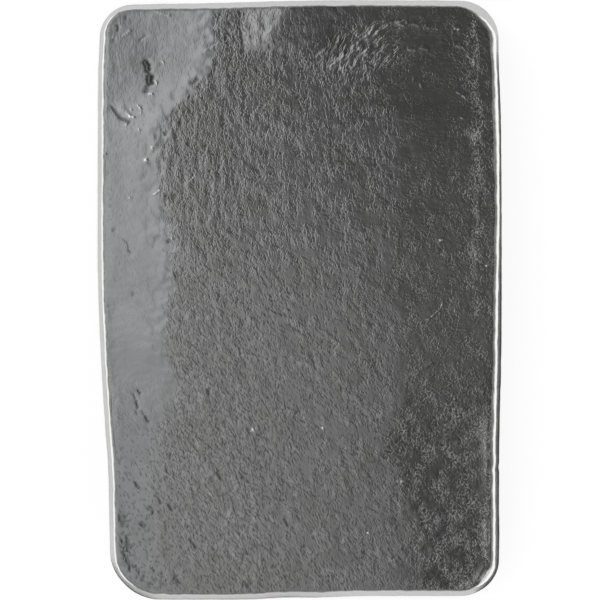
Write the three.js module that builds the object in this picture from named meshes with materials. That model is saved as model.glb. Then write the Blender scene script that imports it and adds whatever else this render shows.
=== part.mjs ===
// A small ingot of fine silver, cast in an open mould and lying on its poured face.
// Millimetres, +Z up; the origin is at the middle of the underside, with the length along Y.
// The face that lay on the mould's floor is up. It is the smaller one, because the mould's walls lean
// outwards so that the casting drops out. The poured face, below, has the round brim of the free metal
// and a shallow shrinkage hollow.
import * as THREE from "three";

// The plan, taken at the brim, where the ingot is widest.
const LENGTH = 100;
const WIDTH = 67.4;
const THICKNESS = 15.5;
const FRONT_LEFT_RADIUS = 8.3;
const FRONT_RIGHT_RADIUS = 6;
const BACK_RIGHT_RADIUS = 6.4;
const BACK_LEFT_RADIUS = 6.4;

// The mould was worn and hand-dressed, so no side is straight. A bow is how far a side falls back at one
// half-length from its crown, and an inset is how far it moves inwards over the named run.
const LEFT_BOW = 0.25;
const LEFT_CROWN_Y = 9.5;
const LEFT_INSET = 1.8;
const LEFT_INSET_START_Y = 9.2;
const LEFT_INSET_RUN = 50.8;
const RIGHT_BOW = 0.6;
const RIGHT_CROWN_Y = 7.1;
const BACK_BOW = 0.5;
const BACK_CROWN_X = 12.1;
const FRONT_INSET = 0.42;
const FRONT_INSET_START_X = -9.7;
const FRONT_INSET_RUN = 22;

// The walls. A draft is the wall's lean from upright, in degrees. The middles of the corners lean further
// than the sides beside them.
const LEFT_DRAFT = 5.2;
const RIGHT_BACK_DRAFT = 3.4;
const RIGHT_FRONT_DRAFT = 5;
const END_DRAFT = 7.8;
const FRONT_LEFT_EXTRA_DRAFT = 0.4;
const FRONT_RIGHT_EXTRA_DRAFT = 0.8;
const BACK_RIGHT_EXTRA_DRAFT = 4;
const BACK_LEFT_EXTRA_DRAFT = 0.3;

// The rolled edge between the walls and the upper face. The right side's draft and roll change from their
// front to their back value over the named run.
const LEFT_ROLL = 0.85;
const RIGHT_BACK_ROLL = 1.5;
const RIGHT_FRONT_ROLL = 0.95;
const END_ROLL = 0.3;
const FRONT_RIGHT_EXTRA_ROLL = 0.6;
const RIGHT_CHANGE_START_Y = -20;
const RIGHT_CHANGE_RUN = 36;

// The brim, round the poured face.
const BRIM_RADIUS = 2.2;

// The upper face's margins. Each slopes down from a line along the face, with a bend at the line and less and
// less steeply over its reach. The angle is in degrees.
const MARGIN_BEND = 0.7;
const LEFT_MARGIN_X = -21.6;
const LEFT_MARGIN_BACK_SHIFT = 7.3;
const LEFT_MARGIN_BACK_START_Y = 26.5;
const LEFT_MARGIN_BACK_RUN = 14;
const LEFT_MARGIN_BACK_ANGLE = 2.6;
const LEFT_MARGIN_FRONT_ANGLE = 1;
const LEFT_MARGIN_CHANGE_START_Y = -22;
const LEFT_MARGIN_CHANGE_RUN = 13;
const LEFT_MARGIN_REACH = 11;
const RIGHT_MARGIN_X = 15.6;
const RIGHT_MARGIN_BACK_ANGLE = 0.9;
const RIGHT_MARGIN_FRONT_ANGLE = 2.2;
const RIGHT_MARGIN_CHANGE_START_Y = -28;
const RIGHT_MARGIN_CHANGE_RUN = 22;
const RIGHT_MARGIN_REACH = 18;

// The swell at the upper face's back edge, which stands above the rest of it, and the slow waves.
const SWELL_X = -1.6;
const SWELL_Y = 48.5;
const SWELL_HALF_LEFT = 4.6;
const SWELL_HALF_RIGHT = 6.5;
const SWELL_HALF_ALONG = 4.8;
const SWELL_HEIGHT = 0.3;
const WAVE_RUN_IN = 9;
const WAVE_HEIGHT = 0.05;
const WAVE_LENGTH_ACROSS = 29;
const WAVE_LENGTH_ALONG = 47;
const WAVE_SKEW = 0.45;

// The poured face: a flat land all round and the shrinkage hollow inside it.
const LAND_WIDTH = 6.5;
const HOLLOW_CORNER_RADIUS = 9;
const HOLLOW_DEPTH = 0.45;
const HOLLOW_RUN = 17;

// How finely the surface is divided.
const HALF_CORNER_STEPS = 4;
const ACROSS_STEPS = 16;
const ALONG_STEPS = 24;
const ROLL_STEPS = 4;
const BRIM_STEPS = 5;
const RELAXING_PASSES = 60;

const HALF_WIDTH = WIDTH / 2;
const HALF_LENGTH = LENGTH / 2;
const EIGHTH_TURN = Math.PI / 4;

const { lerp, smoothstep, degToRad } = THREE.MathUtils;

// How far a bowed side has fallen back at a place along it.
function bow(depth, crown, half, place) {
  return depth * ((place - crown) / half) ** 2;
}

// Where the left side lies at a place along it.
function leftSide(y) {
  const fallBack = bow(LEFT_BOW, LEFT_CROWN_Y, HALF_LENGTH, y);
  const inset = LEFT_INSET * smoothstep(LEFT_INSET_START_Y - y, 0, LEFT_INSET_RUN);
  return fallBack + inset - HALF_WIDTH;
}

// Carries a point of the true rounded rectangle onto the plan as cast, side by side and end by end.
function asCast(point) {
  const rightSway = bow(RIGHT_BOW, RIGHT_CROWN_Y, HALF_LENGTH, point.y);
  const backSway = bow(BACK_BOW, BACK_CROWN_X, HALF_WIDTH, point.x);
  const frontSway = FRONT_INSET * smoothstep(point.x - FRONT_INSET_START_X, 0, FRONT_INSET_RUN);
  return new THREE.Vector2(
    lerp(leftSide(point.y), HALF_WIDTH - rightSway, point.x / WIDTH + 0.5),
    lerp(frontSway - HALF_LENGTH, HALF_LENGTH - backSway, point.y / LENGTH + 0.5),
  );
}

// A corner of the plan: its side and end, where its middle faces, in eighths of a turn, its radius, and what
// it adds to the draft and to the roll there.
function corner(toX, toY, facing, radius, extraDraft, extraRoll) {
  return { toX, toY, facing, radius, extraDraft, extraRoll };
}

// The corners anticlockwise from the front left.
const CORNERS = [
  corner(-1, -1, 5, FRONT_LEFT_RADIUS, FRONT_LEFT_EXTRA_DRAFT, 0),
  corner(1, -1, 7, FRONT_RIGHT_RADIUS, FRONT_RIGHT_EXTRA_DRAFT, FRONT_RIGHT_EXTRA_ROLL),
  corner(1, 1, 9, BACK_RIGHT_RADIUS, BACK_RIGHT_EXTRA_DRAFT, 0),
  corner(-1, 1, 11, BACK_LEFT_RADIUS, BACK_LEFT_EXTRA_DRAFT, 0),
];

// One half of a corner's arc, from or up to its middle, on a rectangle that lies inset in the plan's.
function addHalfCorner(path, place, inset, radius, eighthsFrom, eighthsTo) {
  path.absarc(
    place.toX * (HALF_WIDTH - inset - radius),
    place.toY * (HALF_LENGTH - inset - radius),
    radius,
    (place.facing + eighthsFrom) * EIGHTH_TURN,
    (place.facing + eighthsTo) * EIGHTH_TURN,
  );
}

// A rounded rectangle, as cast, in four stretches that each run from the middle of one corner to the next:
// half an arc, the straight, which the path draws up to the next arc's start, and half an arc.
function outline(inset, radiusAt) {
  const stretch = (from, index) => {
    const next = CORNERS[(index + 1) % CORNERS.length];
    const path = new THREE.Path();
    addHalfCorner(path, from, inset, radiusAt(from), 0, 1);
    addHalfCorner(path, next, inset, radiusAt(next), -1, 0);
    const straightSteps = index % 2 ? ALONG_STEPS : ACROSS_STEPS;
    const steps = [HALF_CORNER_STEPS, straightSteps, HALF_CORNER_STEPS];
    return path.curves.flatMap((curve, k) => curve.getPoints(steps[k]).slice(0, -1));
  };
  return CORNERS.flatMap(stretch).map(asCast);
}

const PLAN = outline(0, ({ radius }) => radius);
const COLUMNS = 2 * HALF_CORNER_STEPS + ACROSS_STEPS;
const ROWS = 2 * HALF_CORNER_STEPS + ALONG_STEPS;

// The outward normals of the plan, square to the chord between each point's two neighbours.
const NORMALS = PLAN.map((_, k) => {
  const before = PLAN.at(k - 1);
  const after = PLAN[(k + 1) % PLAN.length];
  const chord = after.clone().sub(before).normalize();
  return new THREE.Vector2(chord.y, -chord.x);
});

// A value that differs from side to side, blended round the corners by the way the wall faces.
function byFacing(normal, left, right, ends) {
  const sideValue = normal.x < 0 ? left : right;
  return sideValue * normal.x ** 2 + ends * normal.y ** 2;
}

// What the corner that a wall faces adds: all of it at the corner's middle and nothing at its ends.
function cornerExtra(normal, extraOf) {
  const faced = CORNERS.find(({ toX, toY }) => toX * normal.x >= 0 && toY * normal.y >= 0);
  const share = (Math.abs(normal.x) + Math.abs(normal.y) - 1) / (Math.SQRT2 - 1);
  return extraOf(faced) * share;
}

// The wall's lean at a point of the plan, in radians, and its roll's radius.
function leanAndRoll(point, normal) {
  const backwards = smoothstep(point.y - RIGHT_CHANGE_START_Y, 0, RIGHT_CHANGE_RUN);
  const rightDraft = lerp(RIGHT_FRONT_DRAFT, RIGHT_BACK_DRAFT, backwards);
  const rightRoll = lerp(RIGHT_FRONT_ROLL, RIGHT_BACK_ROLL, backwards);
  const extraDraft = cornerExtra(normal, (faced) => faced.extraDraft);
  const extraRoll = cornerExtra(normal, (faced) => faced.extraRoll);
  return [
    degToRad(byFacing(normal, LEFT_DRAFT, rightDraft, END_DRAFT) + extraDraft),
    byFacing(normal, LEFT_ROLL, rightRoll, END_ROLL) + extraRoll,
  ];
}

// How far a margin has fallen at a distance past its line, where it slopes and reaches as given.
function marginFall(past, angle, reach) {
  const bent = MARGIN_BEND * Math.log1p(Math.exp(past / MARGIN_BEND));
  return Math.tan(degToRad(angle)) * reach * Math.tanh(bent / reach);
}

function leftMarginFall(x, y) {
  const shift = smoothstep(y - LEFT_MARGIN_BACK_START_Y, 0, LEFT_MARGIN_BACK_RUN);
  const line = LEFT_MARGIN_X + LEFT_MARGIN_BACK_SHIFT * shift;
  const backwards = smoothstep(y - LEFT_MARGIN_CHANGE_START_Y, 0, LEFT_MARGIN_CHANGE_RUN);
  const angle = lerp(LEFT_MARGIN_FRONT_ANGLE, LEFT_MARGIN_BACK_ANGLE, backwards);
  return marginFall(line - x, angle, LEFT_MARGIN_REACH);
}

function rightMarginFall(x, y) {
  const backwards = smoothstep(y - RIGHT_MARGIN_CHANGE_START_Y, 0, RIGHT_MARGIN_CHANGE_RUN);
  const angle = lerp(RIGHT_MARGIN_FRONT_ANGLE, RIGHT_MARGIN_BACK_ANGLE, backwards);
  return marginFall(x - RIGHT_MARGIN_X, angle, RIGHT_MARGIN_REACH);
}

function swell(x, y) {
  const half = x < SWELL_X ? SWELL_HALF_LEFT : SWELL_HALF_RIGHT;
  const away = ((x - SWELL_X) / half) ** 2 + ((y - SWELL_Y) / SWELL_HALF_ALONG) ** 2;
  return SWELL_HEIGHT * Math.exp(-away);
}

// The level of the upper face without its waves. Only the swell's crest has the full thickness.
function faceLevel(x, y) {
  const middle = THICKNESS - SWELL_HEIGHT;
  return middle - leftMarginFall(x, y) - rightMarginFall(x, y) + swell(x, y);
}

// The upright section of the wall at a point of the plan, as pairs of inset from the plan and height:
// from the brim's foot, round the brim, up the leaning wall and over the rolled edge to the face.
function wallSection(point, normal) {
  const [lean, roll] = leanAndRoll(point, normal);
  const section = [];
  for (let k = 0; k <= BRIM_STEPS; k += 1) {
    const turn = lerp(-Math.PI / 2, lean, k / BRIM_STEPS);
    section.push([BRIM_RADIUS * (1 - Math.cos(turn)), BRIM_RADIUS * (1 + Math.sin(turn))]);
  }
  const [wallInset, wallFoot] = section.at(-1);
  const crestInset = wallInset + (THICKNESS - wallFoot) * Math.tan(lean) + roll;
  const crest = point.clone().addScaledVector(normal, -crestInset);
  const level = faceLevel(crest.x, crest.y);
  const wallTop = level - roll * (1 - Math.sin(lean));
  const rollCentre = wallInset + (wallTop - wallFoot) * Math.tan(lean) + roll * Math.cos(lean);
  for (let k = 0; k <= ROLL_STEPS; k += 1) {
    const turn = lerp(lean, Math.PI / 2, k / ROLL_STEPS);
    section.push([rollCentre - roll * Math.cos(turn), level - roll * (1 - Math.sin(turn))]);
  }
  return section;
}

// The wall's rings, one for each level of the section, every point moved in from the plan along its normal.
const SECTIONS = PLAN.map((point, k) => wallSection(point, NORMALS[k]));
const wallRings = SECTIONS[0].map((_, level) =>
  PLAN.map((point, k) => {
    const [inset, height] = SECTIONS[k][level];
    const { x, y } = point.clone().addScaledVector(NORMALS[k], -inset);
    return new THREE.Vector3(x, y, height);
  }),
);
const faceRing = wallRings.at(-1);
const landRing = outline(BRIM_RADIUS + LAND_WIDTH, () => HOLLOW_CORNER_RADIUS).map(
  (point) => new THREE.Vector3(point.x, point.y, 0),
);

// Distance in plan from a point to the nearest point of a ring.
function edgeDistance(x, y, edge) {
  return Math.min(...edge.map((point) => Math.hypot(point.x - x, point.y - y)));
}

// Height of the upper face. The waves lie below its level and die out at its edge.
function faceHeight(x, y) {
  const across = Math.cos((2 * Math.PI * (x + WAVE_SKEW * y)) / WAVE_LENGTH_ACROSS);
  const along = Math.cos((2 * Math.PI * (y - WAVE_SKEW * x)) / WAVE_LENGTH_ALONG);
  const wave = (WAVE_HEIGHT * (across + along - 2)) / 2;
  return faceLevel(x, y) + wave * smoothstep(edgeDistance(x, y, faceRing), 0, WAVE_RUN_IN);
}

// Height of the shrinkage hollow in the poured face, nothing at the land's inner edge.
function hollowHeight(x, y) {
  return HOLLOW_DEPTH * smoothstep(edgeDistance(x, y, landRing), 0, HOLLOW_RUN);
}

// Positions and triangles of the whole skin.
const positions = [];
const triangles = [];

function addPoint(point) {
  positions.push(point.x, point.y, point.z);
  return positions.length / 3 - 1;
}

function addQuad(a, b, c, d) {
  triangles.push(a, b, c, a, c, d);
}

// Joins two rings of point numbers, the lower one first, with the quads facing out.
function joinRings(lower, upper) {
  lower.forEach((_, k) => {
    const next = (k + 1) % lower.length;
    addQuad(lower[k], lower[next], upper[next], upper[k]);
  });
}

// The ring's point at a column and row of the grid's edge.
function edgePoint(edge, column, row) {
  if (row === 0) return edge[column];
  if (column === COLUMNS) return edge[COLUMNS + row];
  if (row === ROWS) return edge[2 * COLUMNS + ROWS - column];
  return edge[2 * (COLUMNS + ROWS) - row];
}

function isEdge(column, row) {
  return row === 0 || row === ROWS || column === 0 || column === COLUMNS;
}

// A grid of points inside a ring. Each inside point starts between its column's and its row's ends, and then
// moves to the middle of its four neighbours, pass after pass, so that the cells round the corners open out.
function gridInside(edge) {
  const grid = Array.from({ length: ROWS + 1 }, (_, row) =>
    Array.from({ length: COLUMNS + 1 }, (_, column) => {
      if (isEdge(column, row)) return edgePoint(edge, column, row);
      const bottom = edgePoint(edge, column, 0);
      const left = edgePoint(edge, 0, row);
      return new THREE.Vector3(
        lerp(bottom.x, edgePoint(edge, column, ROWS).x, row / ROWS),
        lerp(left.y, edgePoint(edge, COLUMNS, row).y, column / COLUMNS),
        0,
      );
    }),
  );
  for (let pass = 0; pass < RELAXING_PASSES; pass += 1) {
    for (let row = 1; row < ROWS; row += 1) {
      for (let column = 1; column < COLUMNS; column += 1) {
        const beside = [grid[row][column - 1], grid[row][column + 1]];
        const inLine = [grid[row - 1][column], grid[row + 1][column]];
        const neighbours = [...beside, ...inLine];
        grid[row][column].x = neighbours.reduce((sum, point) => sum + point.x, 0) / 4;
        grid[row][column].y = neighbours.reduce((sum, point) => sum + point.y, 0) / 4;
      }
    }
  }
  return grid;
}

// Fills a ring with a grid of quads, its inside points lifted to their height.
function fillRing(edge, edgeNumbers, heightAt, faceUp) {
  const numbers = gridInside(edge).map((points, row) =>
    points.map((point, column) => {
      if (isEdge(column, row)) return edgePoint(edgeNumbers, column, row);
      return addPoint(point.setZ(heightAt(point.x, point.y)));
    }),
  );
  for (let row = 0; row < ROWS; row += 1) {
    for (let column = 0; column < COLUMNS; column += 1) {
      const near = [numbers[row][column], numbers[row][column + 1]];
      const far = [numbers[row + 1][column + 1], numbers[row + 1][column]];
      const quad = [...near, ...far];
      addQuad(...(faceUp ? quad : quad.reverse()));
    }
  }
}

const landNumbers = landRing.map(addPoint);
const wallNumbers = wallRings.map((points) => points.map(addPoint));
fillRing(landRing, landNumbers, hollowHeight, false);
joinRings(landNumbers, wallNumbers[0]);
wallNumbers.slice(1).forEach((upper, level) => joinRings(wallNumbers[level], upper));
fillRing(faceRing, wallNumbers.at(-1), faceHeight, true);

const geometry = new THREE.BufferGeometry();
geometry.setAttribute("position", new THREE.Float32BufferAttribute(positions, 3));
geometry.setIndex(triangles);
geometry.computeVertexNormals();

const silver = new THREE.MeshStandardMaterial({ color: 0x9a9b9a, metalness: 1, roughness: 0.3 });
const ingot = new THREE.Mesh(geometry, silver);
ingot.name = "ingot";

const part = new THREE.Group();
part.add(ingot);
export default part;
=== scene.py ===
"""A cast silver ingot, lying on its poured face and seen from straight above.

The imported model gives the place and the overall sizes. The ingot is rebuilt there as one dense skin with the
casting's relief in its geometry: the rolled edges, the falling margins, the mound, the slow waves, the coarse
grain, the cold ring's folds, the pits and the specks. The material adds the finest relief as bump.
Lengths are in millimetres until the mesh is written, in metres.
"""

import math

import bpy
import numpy as np
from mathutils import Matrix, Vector
from mathutils.geometry import delaunay_2d_cdt
from mathutils.kdtree import KDTree


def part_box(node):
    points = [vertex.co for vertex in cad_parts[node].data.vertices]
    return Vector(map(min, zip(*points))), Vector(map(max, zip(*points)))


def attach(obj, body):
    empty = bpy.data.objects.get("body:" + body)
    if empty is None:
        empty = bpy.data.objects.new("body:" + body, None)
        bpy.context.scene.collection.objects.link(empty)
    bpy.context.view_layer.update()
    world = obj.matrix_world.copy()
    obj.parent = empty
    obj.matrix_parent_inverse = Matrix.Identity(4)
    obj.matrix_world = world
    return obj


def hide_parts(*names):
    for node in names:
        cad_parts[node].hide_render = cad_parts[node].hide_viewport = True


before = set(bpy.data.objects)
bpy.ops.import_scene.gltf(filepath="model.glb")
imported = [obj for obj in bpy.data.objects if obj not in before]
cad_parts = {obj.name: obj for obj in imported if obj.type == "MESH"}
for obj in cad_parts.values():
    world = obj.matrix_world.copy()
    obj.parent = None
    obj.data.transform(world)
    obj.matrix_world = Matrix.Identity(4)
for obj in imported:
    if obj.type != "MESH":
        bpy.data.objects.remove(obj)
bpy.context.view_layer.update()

MM = 0.001

# -------- the plan and the walls
low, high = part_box("ingot")
HALF_WIDTH = (high.x - low.x) / 2 / MM
HALF_LENGTH = (high.y - low.y) / 2 / MM
THICKNESS = high.z / MM

# The corners anticlockwise from the front left: the signs of x and y, the plan's radius, and what a corner
# adds to its walls' lean, in degrees.
CORNERS = [
    (-1, -1, 8.3, 0.4),
    (1, -1, 6.0, 0.8),
    (1, 1, 6.4, 4.0),
    (-1, 1, 5.7, 0.3),
]
# The sides' bows and where each is fullest, and the two stretches that come in towards the front.
LEFT_BOW, LEFT_CROWN_Y = 0.25, 9.5
LEFT_INSET, LEFT_INSET_START_Y, LEFT_INSET_RUN = 1.8, 9.2, 50.8
RIGHT_BOW, RIGHT_CROWN_Y = 0.6, 7.1
BACK_BOW, BACK_CROWN_X = 0.5, 12.1
FRONT_INSET, FRONT_INSET_START_X, FRONT_INSET_RUN = 0.42, -9.7, 22.0
# The walls' lean, in degrees, and the radius of the roll above them.
LEFT_DRAFT, END_DRAFT = 5.4, 7.3
RIGHT_DRAFT_BACK, RIGHT_DRAFT_FRONT = 4.1, 5.4
LEFT_ROLL, RIGHT_ROLL_BACK, RIGHT_ROLL_FRONT, END_ROLL = 0.76, 0.9, 0.85, 0.3
# The blunt part of the front right corner, whose roll carries a painted highlight: the way it faces, in degrees
# from +X towards the front, how far it spreads and what it adds to the roll.
BLUNT_ANGLE, BLUNT_SPREAD, BLUNT_ROLL = 27, 17, 0.55
# Where the walls stand back a little from that plan, or bulge: the place, the half length and the depth.
HOLLOWS = [
    (34, 41, 7, 0.26),
    (34, -22, 8, 0.17),
    (33.0, -27.9, 0.45, 0.28),
    (33.2, -42, 6, -0.24),
    (29.6, -48.4, 3, 0.20),
    (-33.4, 43.0, 4, 0.22),
    (-32, -28, 5, 0.18),
    (-14, 50, 10, 0.20),
    (-3, -50, 4, 0.20),
    (16, -50, 20, 0.20),
    (-27.5, -47.6, 4, 0.22),
]
BRIM_RADIUS = 2.2
# The underside's flat land and the hollow inside it.
LAND_WIDTH = 6.5
HOLLOW_DEPTH, HOLLOW_RUN = 0.45, 17.0

# How finely the skin is divided.
FACE_CELL = 0.34
EDGE_CELL = 0.33
BRIM_LEVELS, WALL_LEVELS, ROLL_LEVELS = 5, 7, 11
UNDER_CELL = 1.8
FINEST_CELL, COARSEST_FINE_CELL = 0.11, 0.2


# -------- small maths
def smoothstep(value, start, run):
    t = np.clip((np.asarray(value, float) - start) / run, 0, 1)
    return t * t * (3 - 2 * t)


def lerp(a, b, t):
    return a + (b - a) * t


def bell(distance, width):
    return np.exp(-((distance / width) ** 2))


def soft_ramp(value, width):
    """0 below 0 and the value itself above it, with a soft bend between."""
    return width * np.logaddexp(0, value / width)


class Lattice:
    """Smooth seeded noise over the plan, about -1 to 1, with features about one unit across."""

    SIZE = 256

    def __init__(self, seed):
        angles = np.random.default_rng(seed).uniform(0, 2 * np.pi, (self.SIZE, self.SIZE))
        self.gx, self.gy = np.cos(angles), np.sin(angles)

    def __call__(self, x, y):
        x, y = np.asarray(x, float), np.asarray(y, float)
        x0, y0 = np.floor(x).astype(int), np.floor(y).astype(int)
        fx, fy = x - x0, y - y0
        u = fx ** 3 * (fx * (fx * 6 - 15) + 10)
        v = fy ** 3 * (fy * (fy * 6 - 15) + 10)

        def corner(i, j):
            a, b = (x0 + i) % self.SIZE, (y0 + j) % self.SIZE
            return self.gx[a, b] * (fx - i) + self.gy[a, b] * (fy - j)

        return 1.5 * lerp(lerp(corner(0, 0), corner(1, 0), u), lerp(corner(0, 1), corner(1, 1), u), v)


SLOW, WAVES, LUMPS, GRAIN, EDGE, WALLS, FLOW, PITS = [Lattice(seed) for seed in range(11, 19)]


# -------- the plan
def bow(depth, crown, half, place):
    return depth * ((place - crown) / half) ** 2


def left_side(y):
    inset = LEFT_INSET * smoothstep(LEFT_INSET_START_Y - y, 0, LEFT_INSET_RUN)
    return bow(LEFT_BOW, LEFT_CROWN_Y, HALF_LENGTH, y) + inset - HALF_WIDTH


def right_side(y):
    return HALF_WIDTH - bow(RIGHT_BOW, RIGHT_CROWN_Y, HALF_LENGTH, y)


def as_cast(x, y):
    """Carries points of the true rounded rectangle onto the plan as cast."""
    back = HALF_LENGTH - bow(BACK_BOW, BACK_CROWN_X, HALF_WIDTH, x)
    front = FRONT_INSET * smoothstep(x, FRONT_INSET_START_X, FRONT_INSET_RUN) - HALF_LENGTH
    across, along = x / (2 * HALF_WIDTH) + 0.5, y / (2 * HALF_LENGTH) + 0.5
    return lerp(left_side(y), right_side(y), across), lerp(front, back, along)


def running_length(x, y):
    return np.concatenate([[0], np.cumsum(np.hypot(np.diff(x), np.diff(y)))])


def plan_outline(spacing):
    """The plan's outline, as cast, in evenly spaced points anticlockwise."""
    xs, ys = [], []
    for k, (sx, sy, radius, _) in enumerate(CORNERS):
        turn = math.pi * (1 + k / 2) + np.linspace(0, math.pi / 2, 40)
        xs.append(sx * (HALF_WIDTH - radius) + radius * np.cos(turn))
        ys.append(sy * (HALF_LENGTH - radius) + radius * np.sin(turn))
    xs, ys = np.concatenate(xs), np.concatenate(ys)
    xs, ys = np.append(xs, xs[0]), np.append(ys, ys[0])
    run = running_length(xs, ys)
    fine = np.linspace(0, run[-1], 6000)
    x, y = as_cast(np.interp(fine, run, xs), np.interp(fine, run, ys))
    run = running_length(x, y)
    even = np.linspace(0, run[-1], round(run[-1] / spacing), endpoint=False)
    return np.interp(even, run, x), np.interp(even, run, y)


def normals_of(x, y):
    """Outward normals of a closed line of points."""
    reach = 3
    dx = np.roll(x, -reach) - np.roll(x, reach)
    dy = np.roll(y, -reach) - np.roll(y, reach)
    size = np.hypot(dx, dy)
    return dy / size, -dx / size


PLAN_X, PLAN_Y = plan_outline(EDGE_CELL)
PLAN_NX, PLAN_NY = normals_of(PLAN_X, PLAN_Y)


def round_the_edge(noise, step, row=0):
    """Noise along the outline that closes on itself, with features a step apart."""
    radius = len(PLAN_X) * EDGE_CELL / (2 * math.pi * step)
    turn = np.linspace(0, 2 * math.pi, len(PLAN_X), endpoint=False)
    return noise(radius * np.cos(turn) + row, radius * np.sin(turn) - row)


# -------- the upper face's margins
# How steeply the margins fall away.
LEFT_TILT, RIGHT_TILT_BACK, RIGHT_TILT_FRONT = 0.045, 0.016, 0.038


def ragged_edge(x, y, edge):
    """How far places are to the right of an edge, which is ragged where they are near it."""
    gap = x - edge
    rough = 0.8 * SLOW(x / 2.6, y / 2.6) + 0.5 * SLOW(x / 1.1 + 31, y / 1.1)
    return gap + rough * bell(gap, 3.5)


def past_left_margin(x, y):
    """How far places are to the right of the end of the smooth, bright left margin."""
    back = 9.2 * smoothstep(y, 26.5, 14)
    bulges = 2.0 * bell(y - 5, 10) + 3.0 * bell(y + 15.3, 5.5)
    return ragged_edge(x, y, -22.8 + back + bulges)


def past_right_start(x, y):
    """How far places are to the right of the start of the dark right margin."""
    bays = 2.5 * bell(y - 3, 3.5) + 2.4 * bell(y + 23.6, 2.6)
    back, front = 3.8 * smoothstep(y, 30, 3), 3.2 * smoothstep(-y, 26, 16)
    return ragged_edge(x, y + 50, 16.6 - bays - back + front)


def left_share(x, y):
    """How much a place has of the smooth left margin, whose end is soft at the front."""
    soft = smoothstep(-y, 12, 14)
    return 1 - smoothstep(past_left_margin(x, y), -1.0 - 3.5 * soft, 2.0 + 3.5 * soft)


def right_share(x, y):
    """How much a place has of the dark right margin, whose start is soft at the front."""
    soft = smoothstep(-y, 30, 14)
    return smoothstep(past_right_start(x, y), -0.8 - 2.2 * soft, 1.6 + 3.4 * soft)


# The mound at the back edge: where it starts, its slanting crest, its slopes and its height.
MOUND_LEFT_X, MOUND_FRONT_Y, MOUND_CREST_X, MOUND_CREST_Y, MOUND_CREST_SLANT = -9.4, 40.0, -1.7, 48.0, 0.5
MOUND_RISE, MOUND_FALL, MOUND_HEIGHT = 0.049, 0.036, 0.33


def past_crest(x, y):
    """How far places are to the right of the mound's crest."""
    return x - MOUND_CREST_X + MOUND_CREST_SLANT * (MOUND_CREST_Y - y)


def mound(x, y):
    """A tongue that rises from the left to its crest and falls away behind it."""
    ragged = 0.5 * SLOW(x / 1.3 + 70, y / 1.3)
    rise = MOUND_RISE * soft_ramp(x - MOUND_LEFT_X + ragged, 0.25)
    fall = (MOUND_RISE + MOUND_FALL) * soft_ramp(past_crest(x, y) + ragged, 0.4)
    return soft_ramp(rise - fall, 0.008) * smoothstep(y + ragged, MOUND_FRONT_Y, 2.4)


def face_level(x, y):
    """The face without its fine relief: both margins fall away from the middle."""
    fade = lerp(1, 0.4, smoothstep(-y, 9, 13))
    left = LEFT_TILT * fade * 11 * np.tanh(soft_ramp(-past_left_margin(x, y), 0.7) / 11)
    front = smoothstep(-y, 6, 22)
    tilt = lerp(RIGHT_TILT_BACK, RIGHT_TILT_FRONT, front)
    bend = 0.4 + 0.9 * smoothstep(-y, 30, 14)
    right = tilt * 18 * np.tanh(soft_ramp(past_right_start(x, y), bend) / 18)
    return THICKNESS - MOUND_HEIGHT - left - right + mound(x, y)


# -------- the upper face's grain
def grain_place(x, y):
    """Places as the grain has them: drawn out along the bar, and leaning at the front."""
    lean = -0.20 * soft_ramp(4 - y, 5) - 0.22 * soft_ramp(-10 - y, 5)
    return x + lean, 0.55 * y - 0.25 * soft_ramp(2 - y, 6)


def front_left_share(x, y):
    """How much a place has of the calmer front left of the face."""
    return smoothstep(-14 - x - 0.35 * (y + 48), -7, 14) * smoothstep(-y, 16, 10)


def side_band(x, y):
    """The rough streaky band inside the right edge, towards the back."""
    middle = 29.1 - 0.6 * smoothstep(y, 25, 15) + 0.5 * SLOW(y / 5, 50.2)
    return bell(x - middle, 1.05) * smoothstep(y, -6, 14)


def side_streaks(x, y):
    """The upright ridges in that band."""
    return smoothstep(FLOW((x + 0.12 * y) / 0.75 + 20, y / 3.2 + 60), 0.0, 0.5) * side_band(x, y)


# The middle of the calm pool inside the ring.
POOL_X, POOL_Y = 21.5, 33


def back_right_calm(x, y):
    """The calm dark pool at the back right, and the cold ring round it."""
    ring = smoothstep(x - 0.6 * (46 - y), -1, 4) * smoothstep(y, 35, 4)
    behind = y - POOL_Y
    pool = bell(x - POOL_X, 6.5) * bell(np.where(behind > 0, behind, -0.5 * behind), 7.5)
    return np.maximum(pool, 0.75 * ring)


def grain_strength(x, y):
    """How strong the dense grain is."""
    patchy = smoothstep(x, -12, 14)
    patches = 0.92 - 0.22 * patchy + (0.35 + 0.45 * patchy) * SLOW(x / 2.2 + 7, y / 2.9)
    patches = patches + (0.2 + 0.3 * patchy) * SLOW(x / 1.1, y / 1.4 + 40)
    upper = 1.2 + 0.04 * smoothstep(y, 2, 28) + 0.2 * smoothstep(-y, 10, 20)
    calm = (1 - 0.85 * left_share(x, y)) * (1 - 0.55 * front_left_share(x, y))
    calm = calm * (1 - 0.6 * back_right_calm(x, y))
    rising = np.clip(mound(x, y) / 0.12, 0, 1) * smoothstep(-past_crest(x, y), -0.8, 1.2)
    calm = calm * (1 - 0.4 * rising)
    right = right_share(x, y)
    beside = 1 - 0.45 * right + 0.27 * right * smoothstep(-y, 12, 8)
    dense = np.clip(patches, 0.12, 1.7) * upper * calm * beside
    return dense + 0.7 * side_band(x, y) * np.clip(0.75 + 1.1 * SLOW(x / 1.8, y / 3.2 + 20), 0.1, 1.5)


# The heights of the grain's two sizes.
LUMP_HEIGHT, GRAIN_HEIGHT = 0.0125, 0.0120


def coarse_grain(x, y):
    """The part of the grain that the mesh carries."""
    across, along = grain_place(x, y)
    lumps = LUMP_HEIGHT * LUMPS(across / 1.6, along / 1.6) + GRAIN_HEIGHT * GRAIN(across / 0.85, along / 0.85)
    return lumps * grain_strength(x, y)


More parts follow.
